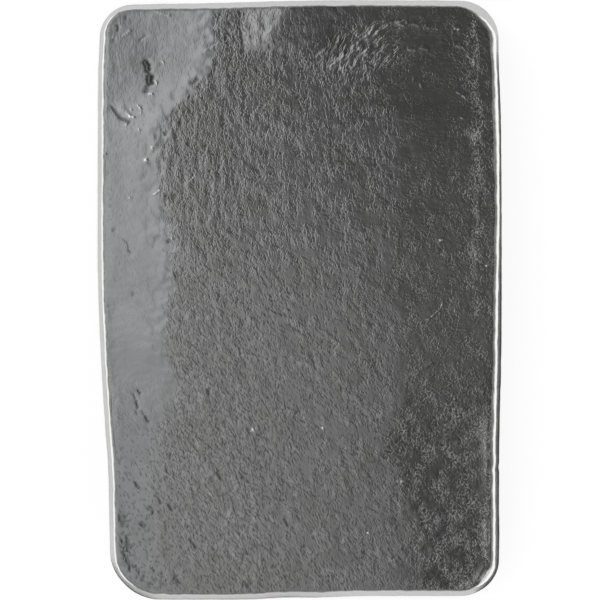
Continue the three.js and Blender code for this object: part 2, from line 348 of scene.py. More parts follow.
def scattered_pits(x, y):
    """Sparse slanting pits: at the front left, and long upright ones just inside the left margin's end."""
    across, _ = grain_place(x, y)
    beside = bell(past_left_margin(x, y) - 1.5, 2.2) * smoothstep(y, 8, 10)
    front = front_left_share(x, y) + 0.5 * left_share(x, y) * smoothstep(-y, 10, 10)
    slanting = smoothstep(PITS(across / 0.7, y / 1.25), 0.38, 0.35) * np.clip(0.7 * front, 0, 1)
    upright = smoothstep(PITS(x / 0.75 + 80, y / 2.0), 0.20, 0.45) * beside
    return slanting + 1.7 * upright


def dash_share(x, y):
    """How thickly the face has small slanting dashes: at the front left and along the left margin."""
    margin = left_share(x, y) * (0.05 + 0.13 * smoothstep(-y, 14, 12))
    dense = (0.25 + 0.35 * smoothstep(-y, -4, 24)) * (1 - left_share(x, y)) * (1 - right_share(x, y))
    return np.clip(0.5 * front_left_share(x, y) + margin + dense, 0, 1)


def scattered_grits(x, y):
    """Sparse raised commas on the dark margin."""
    share = right_share(x, y) * (1 - 0.5 * back_right_calm(x, y))
    return smoothstep(PITS(x / 0.55 + 90, y / 0.7 + 50), 0.30, 0.35) * share


# -------- the cold ring at the back right
# The ring's middle and radius, and how much its folds turn outwards along it.
RING_X, RING_Y, RING_RADIUS, RING_SLANT = 18.9, 28.7, 16.5, 0.25

# The ring's larger ridges of metal that set in folds, as lines: height, half width and the points.
FOLDS = [
    (0.040, 0.30, [(5.2, 38.2), (7.9, 40.7), (10.9, 43.1), (12.2, 44.5)]),
    (0.055, 0.32, [(7.0, 39.3), (9.9, 41.5), (12.4, 43.4), (14.4, 44.9), (15.8, 45.3), (17.8, 45.4)]),
    (0.040, 0.28, [(10.6, 40.8), (12.6, 42.4), (14.6, 43.6)]),
    (0.035, 0.28, [(7.6, 37.7), (9.9, 39.3), (11.5, 40.6)]),
    (0.030, 0.26, [(14.2, 38.4), (15.0, 40.4), (17.4, 41.3), (20.6, 41.2)]),
    (0.025, 0.26, [(17.8, 45.4), (20.4, 45.0), (23.7, 44.6), (25.2, 44.3)]),
    (0.030, 0.28, [(25.8, 42.0), (27.6, 40.4), (29.0, 38.9)]),
    (0.025, 0.26, [(3.0, 40.0), (5.0, 41.7), (6.4, 42.6)]),
]


def ring_place(x, y):
    """Places as distances from the ring's middle and along the ring."""
    return np.hypot(x - RING_X, y - RING_Y), RING_RADIUS * np.arctan2(y - RING_Y, x - RING_X)


def ring_strength(x, y):
    """How strongly the metal is drawn into the ring's fine folds: most towards the left and the back."""
    out, along = ring_place(x, y)
    angle = np.degrees(along / RING_RADIUS)
    ragged = out + 1.2 * SLOW(x / 2.2 + 15, y / 2.2)
    band = smoothstep(ragged, 9.2, 3.0) * (1 - smoothstep(ragged, 17.8, 2.6))
    thick = smoothstep(angle, 90, 22) * (1 - smoothstep(angle, 140, 16))
    faint = smoothstep(angle, 22, 22) * (1 - smoothstep(angle, 146, 12))
    patches = np.clip(0.8 + 0.8 * FLOW(out / 1.6, along / 6) + 0.9 * FLOW(x / 1.1, y / 1.1 + 50), 0.05, 1.7)
    return band * (0.3 * faint + 0.7 * thick) * patches


def distance_to_line(x, y, points):
    """How far places are from a line of straight stretches."""
    best = np.full(np.shape(x), np.inf)
    for (ax, ay), (bx, by) in zip(points, points[1:]):
        dx, dy = bx - ax, by - ay
        along = np.clip(((x - ax) * dx + (y - ay) * dy) / (dx * dx + dy * dy), 0, 1)
        best = np.minimum(best, np.hypot(x - ax - along * dx, y - ay - along * dy))
    return best


FINE_FOLD_HEIGHT = 0.024


def folds(x, y):
    """The height of the ring's folds: fine ones all along it, and the larger ridges."""
    ragged_x = x + 0.35 * FLOW(x / 1.3, y / 1.3) + 0.15 * FLOW(x / 0.6 + 30, y / 0.6)
    ragged_y = y + 0.35 * FLOW(x / 1.3 + 60, y / 1.3) + 0.15 * FLOW(x / 0.6, y / 0.6 + 30)
    out, along = ring_place(ragged_x, ragged_y)
    out = out + RING_SLANT * along
    total = FINE_FOLD_HEIGHT * smoothstep(FLOW(out / 0.8 + 40, along / 4.5), -0.1, 0.7) * ring_strength(x, y)
    broken = 1.25 * np.clip(0.8 + 0.9 * FLOW(x / 1.8 + 90, y / 1.8), 0.15, 1.3)
    for height, half, points in FOLDS:
        total += height * bell(distance_to_line(ragged_x, ragged_y, points), half) * broken
    return total


# -------- single marks
# What each kind of mark is: its height, how dark it is with grime and painted shade, and how bright its painted
# highlight is.
MARK_KINDS = {
    "gash": (-0.30, 0.88, 0),
    "pit": (-0.034, 0.42, 0),
    "dimple": (-0.016, 0.18, 0),
    "speck": (0.045, 0, 1),
    "glint": (0.025, 0, 0.45),
    "knob": (0.016, 0, 0.06),
    "crease": (-0.014, 0.10, 0),
    "ridge": (0.012, 0, 0.05),
}

# The marks: kind, half width and the points of the line that each one follows.
MARKS = [
    # The gash at the back left, the curved scrape in front of it and their glints.
    ("gash", 0.28, [(-25.05, 38.9), (-24.75, 38.3), (-24.7, 37.8)]),
    ("pit", 0.22, [(-24.65, 37.5), (-24.45, 36.9)]),
    ("gash", 0.34, [(-24.3, 36.6), (-24.35, 35.7)]),
    ("pit", 0.3, [(-24.9, 35.0), (-25.1, 34.2)]),
    ("glint", 0.16, [(-23.65, 36.0), (-23.4, 35.4)]),
    ("glint", 0.14, [(-24.75, 33.8), (-24.2, 33.8)]),
    ("pit", 0.24, [(-30.6, 31.5), (-29.9, 30.5), (-29.1, 29.7), (-27.9, 29.2)]),
    ("knob", 0.6, [(-29.0, 31.2), (-28.4, 30.4)]),
    ("glint", 0.16, [(-27.65, 31.3), (-27.6, 31.2)]),
    ("speck", 0.18, [(-27.9, 30.1), (-27.4, 30.0)]),
    ("glint", 0.15, [(-28.2, 30.5), (-28.1, 30.4)]),
    ("glint", 0.15, [(-26.5, 31.9), (-26.0, 31.3)]),
    ("glint", 0.12, [(-26.0, 30.7), (-26.0, 30.6)]),
    ("glint", 0.13, [(-28.5, 28.7), (-28.4, 28.7)]),
    ("glint", 0.13, [(-26.4, 28.0), (-26.3, 27.8)]),
    # Pits along the left margin and its end.
    ("pit", 0.3, [(-17.2, 35.6), (-16.8, 36.1)]),
    ("knob", 0.6, [(-16.0, 35.0), (-15.3, 36.0)]),
    ("pit", 0.34, [(-14.25, 33.5), (-14.15, 33.1)]),
    ("pit", 0.2, [(-19.45, 29.8), (-19.4, 28.9)]),
    ("pit", 0.2, [(-20.3, 27.5), (-20.2, 26.6)]),
    ("pit", 0.22, [(-21.95, 27.4), (-21.85, 27.1)]),
    ("dimple", 0.2, [(-22.1, 17.4), (-22.0, 15.4)]),
    ("pit", 0.15, [(-29.8, 45.0), (-29.75, 44.2)]),
    ("dimple", 0.22, [(-28.5, 46.5), (-28.4, 46.2)]),
    ("pit", 0.26, [(-21.45, 9.7), (-21.35, 9.6)]),
    ("glint", 0.15, [(-21.0, 10.0), (-20.9, 10.0)]),
    ("dimple", 0.3, [(-27.35, 1.1), (-27.3, 0.9)]),
    ("dimple", 0.3, [(-30.5, 11.5), (-30.4, 11.4)]),
    ("dimple", 0.34, [(-23.7, 10.1), (-23.1, 10.3)]),
    ("crease", 0.14, [(-28.9, 9.9), (-28.2, 9.4), (-28.0, 8.3)]),
    ("dimple", 0.16, [(-28.0, 8.1), (-27.7, 7.8)]),
    # Pits between the left margin and the mound.
    ("pit", 0.2, [(-12.9, 46.9), (-13.3, 46.1)]),
    ("pit", 0.2, [(-13.2, 44.3), (-12.9, 44.1)]),
    ("pit", 0.18, [(-11.9, 44.2), (-11.4, 43.4)]),
    ("pit", 0.2, [(-9.5, 43.3), (-9.3, 42.4)]),
    ("pit", 0.16, [(-9.6, 47.0), (-9.7, 46.5)]),
    ("pit", 0.18, [(-11.5, 45.4), (-11.3, 45.2)]),
    ("pit", 0.26, [(-14.9, -14.8), (-14.85, -15.7)]),
    # The broken row of pits inside the left edge, and the front left's pits.
    ("pit", 0.15, [(-26.5, -14.8), (-26.1, -15.3)]),
    ("dimple", 0.17, [(-27.2, -15.5), (-26.9, -16.2)]),
    ("pit", 0.16, [(-26.8, -16.6), (-26.5, -17.6)]),
    ("dimple", 0.15, [(-26.8, -18.2), (-26.6, -18.7)]),
    ("dimple", 0.15, [(-25.8, -18.2), (-25.5, -18.7)]),
    ("pit", 0.21, [(-25.2, -19.2), (-24.8, -20.0)]),
    ("pit", 0.45, [(-29.6, -35.5), (-29.4, -36.0)]),
    ("pit", 0.28, [(-25.9, -36.6), (-25.3, -37.0)]),
    ("pit", 0.22, [(-24.5, -34.0), (-23.9, -35.0)]),
    ("pit", 0.2, [(-21.4, -33.6), (-20.9, -34.4)]),
    ("pit", 0.2, [(-26.8, -30.0), (-26.3, -30.8)]),
    ("dimple", 0.2, [(-23.6, -31.9), (-22.6, -33.3)]),
    ("dimple", 0.22, [(-21.8, -27.9), (-21.7, -28.2)]),
    ("pit", 0.18, [(-17.9, -39.3), (-16.9, -40.6)]),
    ("dimple", 0.22, [(-22.6, -44.8), (-22.3, -45.4)]),
    ("pit", 0.18, [(-24.0, -44.1), (-23.8, -44.4)]),
    ("pit", 0.22, [(-28.4, -38.7), (-28.0, -40.0), (-28.2, -41.2)]),
    ("pit", 0.24, [(-28.8, -41.6), (-28.2, -42.6), (-27.8, -43.9)]),
    ("dimple", 0.26, [(-29.2, -39.2), (-28.6, -40.6)]),
    ("dimple", 0.24, [(-27.4, -43.0), (-26.4, -44.6)]),
    ("pit", 0.3, [(-20.4, -45.3), (-19.8, -46.3)]),
    ("glint", 0.12, [(-19.95, -45.5), (-19.9, -45.5)]),
    ("pit", 0.26, [(-13.4, -28.5), (-13.0, -29.2)]),
    ("dimple", 0.28, [(-8.4, -21.2), (-8.2, -22.0)]),
    ("speck", 0.27, [(-7.65, -21.3), (-7.6, -21.35)]),
    ("speck", 0.17, [(3.85, -21.0), (3.8, -21.0)]),
    ("pit", 0.2, [(-2.4, -36.0), (-1.8, -36.9)]),
    ("pit", 0.22, [(-9.0, -46.2), (-8.4, -47.0)]),
    ("dimple", 0.26, [(-6.6, -46.4), (-6.0, -47.0)]),
    # Bright specks and short scratches.
    ("speck", 0.22, [(-25.3, 22.9), (-25.1, 23.0)]),
    ("glint", 0.2, [(-24.25, 25.0), (-24.2, 24.8)]),
    ("glint", 0.13, [(-18.0, 19.5), (-17.1, 20.3)]),
    ("glint", 0.13, [(-23.9, 17.3), (-22.9, 18.0)]),
    ("glint", 0.14, [(-27.85, 16.7), (-27.8, 16.7)]),
    ("glint", 0.14, [(-22.5, 39.1), (-22.3, 38.9)]),
    ("glint", 0.12, [(-14.55, 10.5), (-14.5, 10.5)]),
    ("speck", 0.2, [(23.15, 9.8), (23.25, 9.8)]),
    ("speck", 0.16, [(30.7, 5.6), (30.75, 5.55)]),
    ("glint", 0.18, [(26.3, 7.7), (26.3, 7.6)]),
    ("glint", 0.14, [(18.3, 17.4), (18.25, 17.3)]),
    ("glint", 0.14, [(19.25, 21.8), (19.2, 21.7)]),
    ("glint", 0.16, [(16.0, -29.7), (16.1, -29.7)]),
    ("glint", 0.18, [(16.75, -29.7), (17.0, -29.75)]),
    ("glint", 0.14, [(25.5, -16.2), (25.5, -16.3)]),
    ("speck", 0.14, [(11.2, -38.2), (11.3, -38.25)]),
    ("knob", 0.16, [(18.5, 35.8), (18.8, 36.4)]),
    ("knob", 0.16, [(19.8, 35.4), (20.0, 34.8)]),
    ("glint", 0.12, [(25.8, 34.1), (26.3, 33.8)]),
    ("glint", 0.12, [(26.8, 33.5), (27.1, 33.2)]),
    ("glint", 0.14, [(26.5, 29.9), (26.8, 29.7)]),
    ("speck", 0.16, [(25.55, 44.45), (25.6, 44.5)]),
    ("speck", 0.16, [(26.05, 44.45), (26.1, 44.4)]),
    ("knob", 0.55, [(25.6, 44.6), (26.0, 44.2)]),
    # Low knobs, creases and ridges.
    ("knob", 0.45, [(-5.05, 0.5), (-5.0, 0.4)]),
    ("knob", 0.34, [(-1.6, -3.4), (-1.5, -3.5)]),
    ("knob", 0.4, [(-4.6, 6.4), (-4.5, 6.3)]),
    ("knob", 0.36, [(1.7, 4.6), (1.75, 4.5)]),
    ("knob", 0.6, [(10.8, -3.9), (11.0, -4.0)]),
    ("knob", 0.5, [(15.9, 1.8), (16.0, 1.7)]),
    ("knob", 0.6, [(18.3, -12.2), (18.6, -12.4)]),
    ("knob", 0.35, [(20.4, -11.0), (21.5, -10.4)]),
    ("knob", 0.45, [(20.6, -13.8), (21.3, -13.2)]),
    ("knob", 0.5, [(23.2, 43.6), (23.1, 42.6)]),
    ("knob", 0.6, [(15.2, 22.6), (15.4, 22.2)]),
    ("knob", 0.45, [(27.7, 27.8), (28.1, 26.9)]),
    ("knob", 0.7, [(29.4, 23.9), (29.8, 23.5)]),
    ("knob", 0.45, [(25.2, -10.6), (25.9, -12.2)]),
    ("knob", 0.35, [(22.4, 7.7), (22.7, 8.0)]),
    ("knob", 0.32, [(23.6, 7.5), (23.8, 7.5)]),
    ("knob", 0.55, [(24.3, -17.4), (24.7, -18.1)]),
    ("knob", 0.45, [(23.7, -18.8), (24.0, -19.0)]),
    ("crease", 0.22, [(-7.5, 5.7), (-6.2, 3.8), (-5.2, 2.1)]),
    ("crease", 0.24, [(-5.2, -1.3), (-3.6, -2.1), (-2.1, -2.5)]),
    ("crease", 0.22, [(-1.6, -4.1), (0.1, -5.1)]),
    ("crease", 0.2, [(-9.8, -6.6), (-9.6, -9.0), (-8.8, -10.8)]),
    ("ridge", 0.22, [(-9.2, -8.9), (-7.4, -9.2), (-5.2, -10.0)]),
    ("ridge", 0.24, [(4.2, -5.3), (5.8, -7.0), (7.5, -8.5)]),
    ("ridge", 0.2, [(-30.6, 43.1), (-29.1, 43.1), (-27.8, 44.1)]),
    ("ridge", 0.24, [(-23.2, 47.2), (-21.3, 46.6)]),
    ("ridge", 0.22, [(-15.5, 40.7), (-13.6, 41.8)]),
    ("crease", 0.2, [(-26.2, 42.6), (-25.2, 43.3)]),
    # The long curved scratch at the right.
    ("glint", 0.09, [(23.5, -0.5), (23.2, -1.2), (22.5, -2.0), (21.6, -2.8), (21.0, -3.2)]),
]
# How far a mark reaches, in half widths.
MARK_REACH = 2.2


def add_marks(x, y, height, grime_and_shade, painted_highlight):
    """Draws the marks into the arrays for the places."""
    for kind, half, points in MARKS:
        rise, mark_grime_and_shade, mark_highlight = MARK_KINDS[kind]
        across, along = np.array(points).T
        margin = MARK_REACH * half + 0.3
        near = (x > across.min() - margin) & (x < across.max() + margin)
        near &= (y > along.min() - margin) & (y < along.max() + margin)
        ragged_x = x[near] + 0.5 * half * GRAIN(x[near] / 0.42, y[near] / 0.42)
        ragged_y = y[near] + 0.5 * half * GRAIN(x[near] / 0.42 + 80, y[near] / 0.42)
        profile = bell(distance_to_line(ragged_x, ragged_y, points), half)
        profile = profile * np.clip(0.85 + 0.7 * GRAIN(x[near] / 0.3, y[near] / 0.3 + 80), 0, 1)
        height[near] += rise * profile
        # Grime and painted shade in the hollow marks, painted highlights on the raised ones.
        grime_and_shade[near] = np.maximum(grime_and_shade[near], mark_grime_and_shade * np.clip(1.8 * profile, 0, 1))
        painted_highlight[near] = np.maximum(painted_highlight[near], mark_highlight * np.clip(1.35 * profile, 0, 1))


# -------- the skin
def linked(name, data):
    """A new object of the scene."""
    made = bpy.data.objects.new(name, data)
    bpy.context.scene.collection.objects.link(made)
    return made


def corner_shares(nx, ny):
    """How much each of the corners, in their order, has of a place on the outline."""
    cornering = (np.abs(nx) + np.abs(ny) - 1) / (math.sqrt(2) - 1)
    return [cornering * (nx * sx > 0) * (ny * sy > 0) for sx, sy, _, _ in CORNERS]


def blunt_share(nx, ny):
    """How much a place on the outline has of the blunt part of the front right corner."""
    return bell(np.degrees(np.arctan2(-ny, nx)) - BLUNT_ANGLE, BLUNT_SPREAD)


def wall_sizes():
    """The walls' lean, in radians, and the roll's radius, all round the outline."""
    forward = 1 - smoothstep(PLAN_Y, -2, 20)
    right_draft = lerp(RIGHT_DRAFT_BACK, RIGHT_DRAFT_FRONT, forward)
    right_roll = lerp(RIGHT_ROLL_BACK, RIGHT_ROLL_FRONT, forward)
    side, end = PLAN_NX ** 2, PLAN_NY ** 2
    draft = np.where(PLAN_NX < 0, LEFT_DRAFT, right_draft) * side + END_DRAFT * end
    roll = np.where(PLAN_NX < 0, LEFT_ROLL, right_roll) * side + END_ROLL * end
    for share, (_, _, _, extra_draft) in zip(corner_shares(PLAN_NX, PLAN_NY), CORNERS):
        draft = draft + extra_draft * share
    roll = roll + BLUNT_ROLL * blunt_share(PLAN_NX, PLAN_NY)
    uneven = 1 + 0.20 * round_the_edge(EDGE, 3.0, 5) + 0.07 * round_the_edge(EDGE, 1.0, 30)
    fat = 0.35 * (bell(PLAN_Y - 30, 4) + bell(PLAN_Y - 43, 4)) * (PLAN_NX > 0)
    return np.radians(draft), roll * (uneven + fat)


def build_rings():
    """The wall's levels as arrays of x, y and height, one row for each level from the brim's foot up."""
    px, py, nx, ny = PLAN_X, PLAN_Y, PLAN_NX, PLAN_NY
    along = np.arange(len(px)) * EDGE_CELL
    lean, roll = wall_sizes()
    crest_inset = BRIM_RADIUS * (1 - np.cos(lean)) + (THICKNESS - BRIM_RADIUS) * np.tan(lean) + roll
    level = face_level(px - nx * crest_inset, py - ny * crest_inset)
    wobble = 0.07 * round_the_edge(EDGE, 3.1) + 0.035 * round_the_edge(EDGE, 1.1, 9)
    wobble = wobble + 0.06 * round_the_edge(EDGE, 0.75, 60) * PLAN_NY ** 2
    hollow = sum(depth * bell(np.hypot(px - x, py - y), half) for x, y, half, depth in HOLLOWS)
    insets, heights, outs, ups = [], [], [], []

    def add_level(inset, height, turn):
        insets.append(inset)
        heights.append(height)
        outs.append(np.cos(turn))
        ups.append(np.sin(turn))

    for k in range(BRIM_LEVELS + 1):
        turn = lerp(-math.pi / 2, lean, k / BRIM_LEVELS)
        add_level(BRIM_RADIUS * (1 - np.cos(turn)), BRIM_RADIUS * (1 + np.sin(turn)), turn)
    wall_inset, wall_foot = insets[-1], heights[-1]
    wall_top = level - roll * (1 - np.sin(lean))
    for share in (*np.arange(1, WALL_LEVELS) / WALL_LEVELS, 0.985):
        height = lerp(wall_foot, wall_top, share)
        add_level(wall_inset + (height - wall_foot) * np.tan(lean), height, lean)
    centre = wall_inset + (wall_top - wall_foot) * np.tan(lean) + roll * np.cos(lean)
    for k in range(ROLL_LEVELS + 1):
        turn = lerp(lean, math.pi / 2, k / ROLL_LEVELS)
        add_level(centre - roll * np.cos(turn), level - roll * (1 - np.sin(turn)), turn)
    rings = []
    for inset, height, out, up in zip(insets, heights, outs, ups):
        rough = 0.030 * WALLS(along / 2.4, height / 1.6) + 0.018 * WALLS(along / 0.9 + 70, height / 0.9)
        push = (rough + wobble * smoothstep(height, 4, 8)) * out
        foot = smoothstep(height, 0, 1.5)
        move = push * foot - inset - hollow
        rings.append(np.stack([px + nx * move, py + ny * move, height + 0.25 * rough * up * foot], 1))
    return rings


def hexagonal_points(low_x, high_x, low_y, high_y, cell):
    """Points on a triangular grid over a box."""
    rows = np.arange(low_y, high_y, cell * math.sqrt(3) / 2)
    columns = np.arange(low_x, high_x, cell)
    grid_x, grid_y = np.meshgrid(columns, rows)
    grid_x[1::2] += cell / 2
    return grid_x.ravel(), grid_y.ravel()


def box_of(ring):
    """The lowest and highest x, then the lowest and highest y, of a ring of points."""
    return ring[:, 0].min(), ring[:, 0].max(), ring[:, 1].min(), ring[:, 1].max()


def marked_points(ring, cell):
    """The face's grid, with a finer one round each mark and fold."""
    xs, ys = hexagonal_points(*box_of(ring), cell)
    fine_xs, fine_ys = [], []
    done = []
    for half, points in [mark[1:] for mark in MARKS] + [fold[1:] for fold in FOLDS]:
        fine = min(max(0.55 * half, FINEST_CELL), COARSEST_FINE_CELL)
        reach = 1.5 * half + 0.12
        across, along = np.array(points).T
        x, y = hexagonal_points(
            across.min() - reach, across.max() + reach, along.min() - reach, along.max() + reach, fine)
        keep = distance_to_line(x, y, points) < reach
        for earlier, earlier_reach in done:
            keep &= distance_to_line(x, y, earlier) > earlier_reach + 0.6 * fine
        far = distance_to_line(xs, ys, points) > reach + 0.45 * cell
        xs, ys = xs[far], ys[far]
        fine_xs.append(x[keep])
        fine_ys.append(y[keep])
        done.append((points, reach))
    return np.concatenate([xs] + fine_xs), np.concatenate([ys] + fine_ys)


def fill_ring(ring, xs, ys, clearance):
    """Triangles over a ring, with those of the given points that are inside it and clear of its line.

    Gives the points kept, their distances from the ring and the triangles, which number the ring's points first.
    """
    ex, ey = ring[:, 0], ring[:, 1]
    tree = KDTree(len(ex))
    for k, (a, b) in enumerate(zip(ex, ey)):
        tree.insert((a, b, 0), k)
    tree.balance()
    nx, ny = normals_of(ex, ey)
    kept, gaps = [], []
    for a, b in zip(xs, ys):
        _, k, distance = tree.find((a, b, 0))
        if distance > clearance and (a - ex[k]) * nx[k] + (b - ey[k]) * ny[k] < 0:
            kept.append((a, b))
            gaps.append(distance)
    points = [Vector((a, b)) for a, b in zip(ex, ey)] + [Vector(p) for p in kept]
    _, _, triangles, origins, _, _ = delaunay_2d_cdt(points, [], [list(range(len(ex)))], 1, 1e-7)
    triangles = [[origins[corner][0] for corner in triangle] for triangle in triangles]
    return np.array(kept), np.array(gaps), triangles


# The lip by the right edge's front: its distance from the roll's end, half widths and height, and how much
# lighter the painted highlight along it makes the metal.
LIP_GAP, LIP_INNER, LIP_OUTER, LIP_HEIGHT, LIP_HIGHLIGHT = 0.42, 0.8, 0.3, 0.075, 0.65
# The small holes inside the left edge: their depth, and how dark they are with grime and painted shade.
HOLE_DEPTH, HOLE_GRIME_AND_SHADE = 0.025, 0.42


def edge_relief(x, y, gap):
    """The relief along the face's edge: its height, its grime and painted shade, and the painted highlight along
    the right lip.
    """
    ragged = gap + 0.12 * EDGE(x / 0.5, y / 0.5)
    front_right = smoothstep(x, 24, 4) * smoothstep(-y, 16, 6)
    front_right = front_right * np.clip(0.75 + 0.7 * SLOW(x / 2, y / 3.4 + 80), 0.4, 1.2)
    side = np.where(ragged > LIP_GAP, LIP_INNER, LIP_OUTER)
    lip = LIP_HEIGHT * bell(ragged - LIP_GAP, side) * front_right
    # A dark line of painted shade along the face's back edge.
    shade_line = bell(gap, 0.16) * smoothstep(y, 44, 2) * np.clip(0.25 + 0.4 * EDGE(x / 0.7, y / 0.7 + 90), 0, 1)
    holes = left_edge_holes(x, y, gap)
    # A painted highlight along the right lip's front part.
    lip_highlight = LIP_HIGHLIGHT * bell(gap - 0.4, 0.6) * smoothstep(x, 24, 4) * smoothstep(-y, 21, 10)
    return lip - HOLE_DEPTH * holes, np.clip(HOLE_GRIME_AND_SHADE * holes + shade_line, 0, 1), lip_highlight


def left_edge_holes(x, y, gap):
    """Clusters of small holes a little inside the left edge, darkened with grime and painted shade."""
    front = smoothstep(-y, 33.5, 3) * smoothstep(-x, 20, 6) * bell(gap - 1.5, 1.0)
    back = 0.6 * bell(y - 41, 3.5) * smoothstep(-x, 29.5, 1.5) * bell(gap - 1.1, 0.35)
    middle = 0.25 * (bell(y - 16, 5) + bell(y + 8, 8) + bell(y + 24, 6)) * smoothstep(-x, 24, 4)
    place = front + back + middle * bell(gap - 0.7, 0.4)
    holes = smoothstep(GRAIN(x / 0.52 + 33, y / 0.68 + 12) + 0.4 * SLOW(x / 2.5, y / 2.5 + 33), 0.14, 0.25)
    return holes * np.clip(1.4 * place, 0, 1)


# The middle of a patch of painted shade beside the cold ring, in place of a tilt away from the light, and how
# dark it is.
SHADE_PATCH_X, SHADE_PATCH_Y, SHADE_PATCH_DEPTH = 5.2, 41.4, 0.28
# The heights of the rest of the face's relief, how much each part of it lightens or darkens the skin as painted
# shading, and how bright the raised grits and folds are painted as highlights.
LONG_WAVE, SHORT_WAVE, LONG_RIPPLE, SHORT_RIPPLE = 0.030, 0.009, 0.004, 0.003
PIT_DEPTH, GRIT_HEIGHT, STREAK_HEIGHT = 0.016, 0.012, 0.022
GRAIN_SHADE, PIT_SHADE, FOLD_SHADE, STREAK_SHADE, RIPPLE_SHADE = 6, 0.22, 1.1, 0.5, 6
GRIT_HIGHLIGHT, FOLD_HIGHLIGHT, FULL_FOLD = 0.11, 0.03, 0.06


def face_surface(x, y, gap):
    """Height, grime and painted shade, painted highlight and painted shading of the upper face."""
    fade = smoothstep(gap, 0, 0.9)
    pits, grits, ridges = scattered_pits(x, y), scattered_grits(x, y), folds(x, y)
    grain = coarse_grain(x, y)
    relief = LONG_WAVE * WAVES(x / 13, y / 17) + SHORT_WAVE * WAVES(x / 4.2 + 40, y / 5.2)
    streaks = side_streaks(x, y)
    relief = relief + grain - PIT_DEPTH * pits + GRIT_HEIGHT * grits + STREAK_HEIGHT * streaks + ridges
    ripples = LONG_RIPPLE * WAVES(x / 2.9 + 50, y / 2.2) + SHORT_RIPPLE * LUMPS(x / 1.1, y / 0.9 + 90)
    ripples = ripples * (left_share(x, y) + 0.15)
    height = face_level(x, y) + fade * (relief + ripples)
    edge_height, grime_and_shade, lip_highlight = edge_relief(x, y, gap)
    height = height + edge_height
    painted_highlight = (GRIT_HIGHLIGHT * grits + FOLD_HIGHLIGHT * np.clip(ridges / FULL_FOLD, 0, 1)) * fade
    # Painted shading: lighter on the crests of the grain, folds, streaks and ripples and along the right lip,
    # darker in the valleys, the pits and a patch beside the ring.
    painted_shading = GRAIN_SHADE * grain - PIT_SHADE * pits + FOLD_SHADE * ridges
    painted_shading = fade * (painted_shading + STREAK_SHADE * streaks + RIPPLE_SHADE * ripples)
    painted_shading = painted_shading + lip_highlight - SHADE_PATCH_DEPTH * bell(x - SHADE_PATCH_X, 3.2) * bell(y - SHADE_PATCH_Y, 2.4)
    add_marks(x, y, height, grime_and_shade, painted_highlight)
    return height, grime_and_shade, painted_highlight, painted_shading


# How strong the grain and the pits are on the walls, and how far up the roll the painted highlight reaches.
WALL_GRAIN, WALL_PITS = 0.7, 0.45
HIGHLIGHT_END = 0.46


